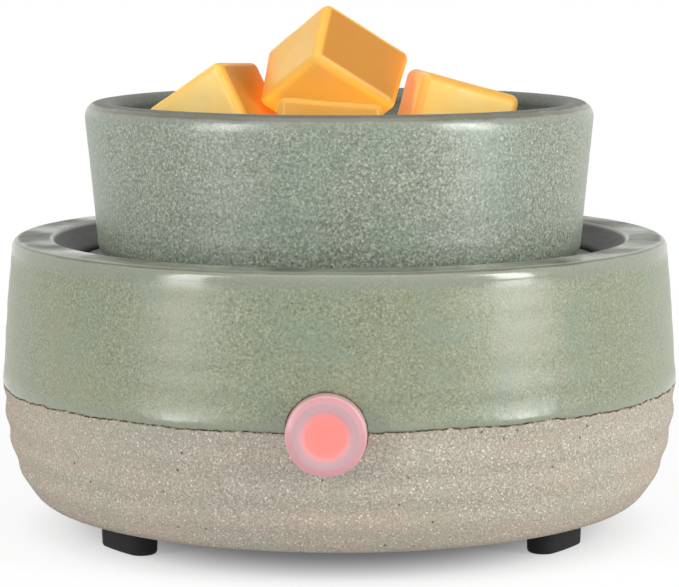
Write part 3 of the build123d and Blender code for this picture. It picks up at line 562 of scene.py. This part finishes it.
zinc = sheet_metal("zinc_plated_steel", (150, 152, 152), (196, 198, 196), 0.36)
brass = sheet_metal("brass_strip", (168, 132, 68), (212, 178, 104), 0.34)
mica = Finish("mica_sheet", 0.5)
flakes = mica.cells(2.2)
mica.colour(mica.ramp(flakes, [
    (0.1, (190, 176, 140)), (0.45, (160, 142, 106)), (0.8, (128, 110, 78))]))
mica.bump(flakes, 0.05)
fibre = moulded("fibre_wool", (196, 192, 182), (232, 230, 222), 0.7, 0.4, 0.95)
dress(plate_coat, "warming_plate")
dress(silicone, "plate_gasket")
dress(mica, "heater_element")
dress(fibre, "insulation_pad")
dress(zinc, "plate_studs", "pressure_plate", "clamp_spider", "stud_washers", "plate_nuts",
      "cover_posts", "cover_screws", "thermal_fuse", "fuse_clip", "fuse_screw", "terminal_screws",
      "block_screws", "return_spring")
dress(brass, "heater_terminals", "crimp_sleeves", "switch_terminals")


# Switch and push button
# A round push switch sits behind the wall with its foam ring. The frosted cap comes through the
# wall, and the light of the lamp on the middle post through it is a painted glow in its colour and
# emission, strongest in the middle.

white_plastic = moulded("white_plastic", (206, 206, 202), (226, 226, 222), 0.9, 0.02, 0.38)
foam = Finish("foam_ring", 0.95)
pores = foam.cells(0.7)
foam.colour(foam.ramp(pores, [(0.2, (26, 26, 27)), (0.6, (54, 54, 56))]))
foam.bump(pores, 0.15)
dress(white_plastic, "switch_housing", "terminal_block")
dress(foam, "switch_gasket")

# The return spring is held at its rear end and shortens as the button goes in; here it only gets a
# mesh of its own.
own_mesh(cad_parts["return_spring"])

lamp_lens = Finish("lamp_lens", 0.2, Emission_Strength=3.0)
lens_tone = lamp_lens.ramp(lamp_lens.grain(1.5, 2.0), [
    (0.3, (255, 96, 80)), (0.7, (255, 128, 104))])
lamp_lens.colour(lens_tone)
lamp_lens.feed(lamp_lens.shader.inputs["Emission Color"], lens_tone)
lamp_lens.bump(lamp_lens.grain(0.5), 0.01)
dress(lamp_lens, "indicator_lamp")

cap_face = 78.2
cap_back = 63.2
cap_radius = 8.15
cap_wall = 1.55
front_wall = 2.2
collar_radius = 9.5
collar_front = 64.4
dimple_radius = 4.85
dimple_depth = 0.5
around_cap = 128
# Outline as (radius, distance from the middle of the base): dimple, side, collar, hollow back
cap_corners = [
    (0.0, cap_face - dimple_depth), (dimple_radius - 0.7, cap_face - dimple_depth),
    (dimple_radius + 0.6, cap_face - 0.03), (6.6, cap_face - 0.02), (cap_radius, cap_face - 0.6),
    (cap_radius, collar_front), (collar_radius, collar_front), (collar_radius, cap_back),
    (cap_radius - cap_wall, cap_back), (cap_radius - cap_wall, cap_face - front_wall),
    (0.0, cap_face - front_wall),
]
cap_radii = [1.6, 1.6, 0.8, 0.8, 0.2, 0.2, 0.2, 0.2, 0.6]
cap_outline = rounded(cap_corners, cap_radii, 6)

frosted = Finish("frosted_cap", 0.42, Coat_Weight=0.6, Coat_Roughness=0.22,
                 Emission_Strength=0.30, Subsurface_Weight=0.3, Subsurface_Scale=1.5 * MM)
cap_axes = frosted.node("SeparateXYZ", Vector=frosted.place).outputs
down_axis = frosted.node("CombineXYZ", X=cap_axes["X"],
                         Z=frosted.maths("SUBTRACT", cap_axes["Z"], button_height * MM))
spread = frosted.node("MapRange", Value=frosted.length(down_axis.outputs["Vector"]))
spread.inputs["From Max"].default_value = cap_radius * MM
cloud = frosted.grain(4.0, 2.0)
glow_place = frosted.maths("ADD", spread.outputs["Result"], frosted.maths("MULTIPLY", cloud, 0.05))
# Painted glow: the cap's colour and emission are coral in the middle and paler toward the rim, for
# the lamp's light through it
frosted.colour(frosted.ramp(glow_place, [
    (0.0, (226, 124, 116)), (0.50, (222, 128, 122)), (0.70, (186, 154, 160)),
    (0.88, (192, 150, 156)), (0.97, (204, 138, 144)), (1.0, (192, 160, 158))]))
glow = frosted.ramp(glow_place, [
    (0.0, (250, 114, 102)), (0.44, (248, 112, 104)), (0.56, (226, 118, 114)),
    (0.68, (140, 94, 96)), (0.80, (118, 80, 84)), (0.92, (136, 80, 84)),
    (0.98, (150, 72, 76)), (1.0, (104, 68, 68))])
frosted.feed(frosted.shader.inputs["Emission Color"], glow)
frosted.bump(frosted.grain(0.35, 3.0), 0.015)

points, faces, _ = turned(cap_outline, around_cap, closed=False)
cap_points = [(x, -forward, y + button_height) for x, y, forward in points]
button = new_piece("push_button_cap", cap_points, faces, [frosted], crease=40.0)
face_outward(button, merge=True)
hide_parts("button_cap")
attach(button, "button")


# Terminal block, gland and leads
# The block stands on the cover, where the cord's two cores are clamped. A rubber gland fills the
# window at the rear. Five leads run from block, switch and fuse to the heater.

gland_rubber = moulded("gland_rubber", (20, 20, 21), (36, 36, 37), 0.45, 0.04, 0.58)
dress(gland_rubber, "cord_gland")
for name, dark, light, leads in [
    ("white_lead", (196, 196, 190), (214, 214, 208), ("lead_lamp", "lead_neutral")),
    ("black_lead", (24, 24, 25), (40, 40, 41), ("lead_live",)),
    ("red_lead", (140, 24, 20), (168, 36, 30), ("lead_switched", "lead_heater")),
]:
    dress(moulded(name, dark, light, 1.2, 0.02, 0.42), *leads)


# Dish
# A loose stoneware bowl with a coarser, greener speckle than the base. Its lip is full and round,
# and the glaze breaks brown along the lip's outer edge. The foot is wiped clean of glaze.

plate_top = 59.0
dish_radius = 56.4
dish_foot_radius = 53.2
dish_top = 94.1
dish_mouth_radius = 49.6
bowl_edge = 91.1
bowl_floor = 66.0
near_lip = 90.0
around_dish = 720
foot_rows = 12
wiped_rows = 6
side_rows = 34
bowl_rows = 40

foot_corners = [(0.0, plate_top), (dish_foot_radius, plate_top), (dish_radius, dish_top),
                (dish_mouth_radius, dish_top), (dish_mouth_radius, bowl_edge)]
dish_outline = rounded(foot_corners, [4.5, 3.2, 2.6], 10)
side_from, side_to = np.array(dish_outline[foot_rows - 1]), np.array(dish_outline[foot_rows])
dish_outline[foot_rows:foot_rows] = [
    tuple(side_from + (side_to - side_from) * share)
    for share in np.linspace(0, 1, side_rows)[1:-1]]
for step in range(1, bowl_rows):
    drop = math.pi / 2 * step / bowl_rows
    dish_outline.append((dish_mouth_radius * math.cos(drop),
                         bowl_edge - (bowl_edge - bowl_floor) * math.sin(drop)))
dish_outline.append((0.0, bowl_floor))


def dish_form(angle, row, radius, height):
    """Throwing rings, swells and a lip that isn't quite level. Foot and middle stay true."""
    if radius < 1 or height < plate_top + 0.5:
        return radius, height
    across = Vector((radius * math.cos(angle), radius * math.sin(angle), height))
    rings = 0.05 * noise.noise(Vector((0.4 * wander(angle, 2, 1), 1.7, height / 2.2)))
    swell = 0.12 * noise.noise(across / 22)
    fine = 0.025 * noise.noise(across / 1.3)
    if height > near_lip:
        height += 0.12 * wander(angle, 11, 2) * min(1.0, (height - near_lip) / 3)
    return radius + rings + swell + fine - 0.1, height - 0.1


dish_glaze = Finish("dish_glaze", 0.38, Specular_IOR_Level=0.9)
dish_speckle = dish_glaze.grain(0.58, 3.0, 0.75)
ground = dish_glaze.ramp(dish_speckle, [
    (0.28, (62, 72, 58)), (0.41, (106, 116, 99)), (0.52, (137, 145, 128)),
    (0.62, (170, 176, 157)), (0.76, (208, 210, 192)),
])
pale = dish_glaze.between(dish_glaze.cells(1.5), 0.2, 0.08)
ground = dish_glaze.mix(pale, ground, (196, 200, 182))
dark = dish_glaze.between(dish_glaze.cells(2.1), 0.15, 0.06)
ground = dish_glaze.mix(dish_glaze.maths("MULTIPLY", dark, 0.8), ground, (84, 92, 76))
drift = dish_glaze.between(dish_glaze.grain(18, 3.0), 0.36, 0.66)
ground = dish_glaze.mix(drift, ground, dish_glaze.mix(0.25, ground, (128, 150, 138)))
# The glaze runs off the lip: brown along the outer edge, and smooth just below it. The top of the
# lip is painted dark, a painted reflection of the wax above it
dish_far, dish_level = dish_glaze.off_axis()
wavy = dish_glaze.maths("MULTIPLY", dish_glaze.grain(6, 3.0), 0.8 * MM)
dish_high = dish_glaze.maths("ADD", dish_level, wavy)
below_lip = dish_glaze.along(dish_high, 90.6, 92.8)
ground = dish_glaze.mix(dish_glaze.maths("MULTIPLY", below_lip, 0.7), ground, (128, 134, 120))
line = dish_glaze.along(dish_high, 92.9, 93.5)
ground = dish_glaze.mix(dish_glaze.maths("MULTIPLY", line, 0.85), ground, (84, 76, 50))
# Painted reflection: the top of the lip is painted dark
lip_reflection_tone = dish_glaze.ramp(dish_speckle, [
    (0.3, (42, 48, 38)), (0.5, (60, 67, 55)), (0.7, (84, 90, 76))])
on_lip = dish_glaze.along(dish_high, 93.8, 94.2)
ground = dish_glaze.mix(on_lip, ground, lip_reflection_tone)
# Painted shade: the inside of the bowl, under the melts, is painted darker
inside = dish_glaze.along(dish_far, 52.2, 51.2)
inside_shade_tone = dish_glaze.ramp(dish_speckle, [
    (0.3, (56, 62, 52)), (0.5, (78, 84, 73)), (0.7, (102, 108, 94))])
ground = dish_glaze.mix(inside, ground, inside_shade_tone)
dish_glaze.colour(ground)
relief = dish_glaze.bump(dish_speckle, 0.05)
dish_glaze.bump(dish_glaze.grain(12, 2.0), 0.25, relief)
dish_gloss = dish_glaze.mix(below_lip, dish_speckle, 0.0)
satin = dish_glaze.maths("MAXIMUM", on_lip, inside)
dish_glaze.roughness(dish_glaze.mix(satin, dish_gloss, 1.0), 0.22, 0.55)

points, faces, face_rows = turned(dish_outline, around_dish, dish_form, closed=False)
picks = [1 if row < wiped_rows else 0 for row in face_rows]
dish = new_piece("stoneware_dish", points, faces, [dish_glaze, raw_stone], picks)
face_outward(dish, merge=True)
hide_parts("dish")
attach(dish, "dish")


# Wax melts
# Four cubes of amber wax as they snap out of their tray: a square block with drafted sides,
# soft edges, and faces that sank a little as the wax cooled. Light passes into the wax, and more
# is painted in: a painted glow, painted shade on some faces and pieces, and painted gold edges.

melt_width = 23.8
melt_top_width = 22.4
melt_thickness = 16.5
melt_fillet = 2.05
melt_sink = 0.25
melt_inset = 0.08
melt_grid = 40
melt_band = 0.2
lit_reach = 6.0
# Place, turns about X, Y and Z, the body it rides on, and how much painted shade its wax gets
melt_poses = {
    "wax_melt_front": ((-2.728, -21.328, 82.461), (70, 2, -4), "melt_front", 0.75),
    "wax_melt_left": ((-26.536, 3.968, 87.003), (83, -30, -151), "melt_left", 0.0),
    "wax_melt_right": ((25.048, 2.48, 86.641), (88, 11, -15), "melt_right", 0.0),
    "wax_melt_top": ((-1.488, 1.488, 98.636), (135, -10, -126), "melt_top", 0.45),
}

wax = Finish("amber_wax", 0.42, Subsurface_Weight=0.6, Subsurface_Scale=3.0 * MM,
             Specular_IOR_Level=0.25, Coat_Weight=0.05, Coat_Roughness=0.2, Emission_Strength=0.6)
wax.shader.inputs["Subsurface Radius"].default_value = (1.0, 0.4, 0.1)
clouds = wax.grain(11, 3.0)
amber = wax.ramp(clouds, [
    (0.3, (252, 204, 110)), (0.5, (253, 214, 128)), (0.7, (254, 222, 146))])
# Painted shade: faces that look up and to the right are painted a darker amber, as if less light
# fell on them
normal = wax.node("NewGeometry").outputs["Normal"]
lean_right = wax.node("VectorMath", operation="DOT_PRODUCT")
wax.feed(lean_right.inputs[0], normal)
wax.feed(lean_right.inputs[1], (0.76, 0.0, 0.65))
shaded_facing = wax.between(lean_right.outputs["Value"], 0.25, 0.75)
amber = wax.mix(shaded_facing, amber, (184, 124, 46))
# Painted shade by piece: the front melt, under the top one, is painted darkest, the top one less
depth = wax.node("Attribute", attribute_name="depth").outputs["Fac"]
amber = wax.mix(depth, amber, (210, 142, 46))
# Edges are painted a clearer gold, as light through the wax would tint them, and wax that lies
# against other wax is painted orange: a painted glow, as if lit through
edges = wax.node("Attribute", attribute_name="edge").outputs["Fac"]
painted_gold_edge = wax.maths("MULTIPLY", wax.between(edges, 0.05, 0.5), 0.6)
amber = wax.mix(painted_gold_edge, amber, (240, 186, 74))
against = wax.node("Attribute", attribute_name="against").outputs["Fac"]
amber = wax.mix(wax.between(against, 0.15, 0.9), amber, (236, 146, 42))
wax.colour(amber)
# Painted glow: the wax emits orange where it lies against other wax, most on faces that look down,
# and a faint amber on faces without painted shade
facing_down = wax.between(wax.node("SeparateXYZ", Vector=normal).outputs["Z"], 0.25, -0.45)
passed = wax.maths("ADD", wax.maths("MULTIPLY", facing_down, 1.5), 0.15)
lit = wax.maths("MULTIPLY", against, passed)
through = wax.ramp(lit, [(0.05, (0, 0, 0)), (0.8, (255, 178, 48))])
pale = wax.maths("MULTIPLY", wax.maths("SUBTRACT", 1.0, shaded_facing), wax.maths("SUBTRACT", 1.0, depth))
scattered = wax.mix(pale, 0.0, (100, 82, 46))
wax.feed(wax.shader.inputs["Emission Color"], wax.mix(1.0, through, scattered, "ADD"))
relief = wax.bump(wax.grain(5, 2.0), 0.1)
wax.bump(wax.grain(0.7, 3.0), 0.01, relief)

draft = (melt_width - melt_top_width) / 2 / melt_thickness
inset = melt_fillet * math.sqrt(1 + draft ** 2) + melt_fillet * draft
core_half = melt_width / 2 - inset
core_half_top = core_half - draft * (melt_thickness - 2 * melt_fillet)
core_height = melt_thickness / 2 - melt_fillet


def clipped(value, low, high):
    """Share of the way from low to high that the value has gone, with its own sign."""
    return math.copysign(min(1.0, max(0.0, abs(value) - low) / (high - low)), value)


def melt_points(seed):
    """Points and faces of one melt about its own centre, and how near an edge each point is.
    A cube of side 2 gives them: the outer band of each face goes round the edges."""
    edges = []
    grid = bmesh.new()
    bmesh.ops.create_cube(grid, size=2.0)
    bmesh.ops.subdivide_edges(grid, edges=grid.edges, cuts=melt_grid - 1, use_grid_fill=True)
    for corner in grid.verts:
        out = Vector([clipped(c, 1 - melt_band, 1) for c in corner.co])
        flat = Vector([clipped(c, 0, 1 - melt_band) for c in corner.co])
        half = core_half + (core_half_top - core_half) * (flat.z + 1) / 2
        core = Vector((flat.x * half, flat.y * half, flat.z * core_height))
        if out.length > 0:
            core += Vector([math.tan(c * math.pi / 4) for c in out]).normalized() * melt_fillet
        face_axis = max(range(3), key=lambda axis: abs(corner.co[axis]))
        dip = math.prod(1 - flat[axis] ** 2 for axis in range(3) if axis != face_axis)
        core -= core.normalized() * melt_sink * max(0.0, dip)
        wobble = 0.1 * noise.noise(core / 7 + Vector((seed, 0, 0)))
        core += corner.co.normalized() * (wobble - melt_inset)
        corner.co = core
        edges.append(sorted(abs(c) for c in out)[1])
    points = [v.co.copy() for v in grid.verts]
    grid.verts.index_update()
    faces = [tuple(v.index for v in face.verts) for face in grid.faces]
    grid.free()
    return points, faces, edges


heap = Matrix.Rotation(math.radians(2.0), 3, "Z")
melts, hulls = {}, {}
for seed, (name, (place, turn, body, depth)) in enumerate(melt_poses.items()):
    points, faces, edges = melt_points(seed * 7.3)
    tilt = Euler([math.radians(a) for a in turn], "ZYX").to_matrix()
    points = [heap @ (tilt @ p + Vector(place)) for p in points]
    melts[name] = (points, faces, edges, body, depth)
    hulls[name] = BVHTree.FromPolygons(points, faces)
for name, (points, faces, edges, body, depth) in melts.items():
    others = [hull for other, hull in hulls.items() if other != name]
    gaps = [min(hull.find_nearest(point)[3] for hull in others) for point in points]
    melt = new_piece(name.replace("wax_melt", "melted_cube"), points, faces, [wax], crease=60.0)
    # Per point: nearness of an edge, nearness of other wax for the painted glow, and the melt's
    # share of painted shade
    layers = {"edge": edges, "against": [math.exp(-gap / lit_reach) for gap in gaps],
              "depth": [depth] * len(points)}
    for layer, values in layers.items():
        melt.data.attributes.new(layer, "FLOAT", "POINT").data.foreach_set("value", values)
    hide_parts(name)
    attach(melt, body)


# Table, lights and camera
# A white table that shows only the soft shadow, two tall softboxes in front at the left and
# right, a broad one above, and a long lens a little above the dish.

table_top = Finish("table_white", 0.9, Specular_IOR_Level=0.0)
from_middle = table_top.length(table_top.place)
clear = table_top.along(from_middle, 36, 76)
distant = table_top.along(from_middle, 140, 340)
seen = table_top.node("LightPath").outputs
straight = table_top.maths("MAXIMUM", seen["Is Camera Ray"], seen["Is Glossy Ray"])
straight = table_top.maths("MAXIMUM", straight, seen["Is Transmission Ray"])
cleared = table_top.maths("MULTIPLY", clear, straight)
white = table_top.mix(cleared, 0.80, 0.12)
table_top.colour(table_top.mix(distant, white, 0.0))
# Seen directly the table is nearly white but for the shadow under the base
fill = table_top.maths("ADD", table_top.maths("MULTIPLY", clear, 0.76), 0.12)
fill = table_top.maths("ADD", table_top.maths("MULTIPLY", distant, 0.12), fill)
table_top.shader.inputs["Emission Color"].default_value = (1, 1, 1, 1)
glow = table_top.maths("MULTIPLY", straight, fill)
table_top.feed(table_top.shader.inputs["Emission Strength"], glow)
reach = 500
under_feet = -0.02
corners = [(x * reach, y * reach, under_feet) for x, y in ((-1, -1), (1, -1), (1, 1), (-1, 1))]
table = new_piece("table", corners, [(0, 1, 2, 3)], [table_top])

world = bpy.data.worlds.new("studio")
bpy.context.scene.world = world
world.use_nodes = True
sky = world.node_tree.nodes["Background"]
sky.inputs["Color"].default_value = (1, 1, 1, 1)
path = world.node_tree.nodes.new("ShaderNodeLightPath")
strength = world.node_tree.nodes.new("ShaderNodeMapRange")
strength.inputs["To Min"].default_value = 0.33
strength.inputs["To Max"].default_value = 1.0
shown = path.outputs["Is Camera Ray"]
for way in ("Is Glossy Ray", "Is Transmission Ray"):
    either = world.node_tree.nodes.new("ShaderNodeMath")
    either.operation = "MAXIMUM"
    world.node_tree.links.new(shown, either.inputs[0])
    world.node_tree.links.new(path.outputs[way], either.inputs[1])
    shown = either.outputs["Value"]
world.node_tree.links.new(shown, strength.inputs["Value"])
world.node_tree.links.new(strength.outputs["Result"], sky.inputs["Strength"])

camera_turn = math.radians(2.0)
aimed_at = Vector((0, 0, 0.05))
# Name, azimuth in degrees, height, distance, width and length in metres, and watts
for name, azimuth, rise, distance, width, tall, power in [
    ("softbox_left", -52, 0.25, 1.1, 0.28, 1.3, 11.0),
    ("softbox_right", 60, 0.25, 1.1, 0.24, 1.3, 15.0),
    ("softbox_above", 0, 1.3, 0.1, 1.0, 1.0, 4.0),
]:
    lamp = bpy.data.lights.new(name, "AREA")
    lamp.shape = "RECTANGLE"
    lamp.size = width
    lamp.size_y = tall
    lamp.energy = power
    box = bpy.data.objects.new(name, lamp)
    bearing = math.radians(azimuth) + camera_turn
    box.location = (distance * math.sin(bearing), -distance * math.cos(bearing), rise)
    aim = aimed_at - box.location
    box.rotation_euler = aim.to_track_quat("-Z", "Y").to_euler()
    bpy.context.collection.objects.link(box)

view = bpy.data.cameras.new("photo_view")
view.sensor_width = 36.0
view.lens = 148.19
camera = bpy.data.objects.new("photo_view", view)
away = 0.6179
camera_height = 0.1304
look_down = 7.33
camera.location = (away * math.sin(camera_turn), -away * math.cos(camera_turn), camera_height)
camera.rotation_euler = (math.radians(90 - look_down), 0, camera_turn)
bpy.context.collection.objects.link(camera)
bpy.context.scene.camera = camera
bpy.context.scene.view_settings.view_transform = "Standard"
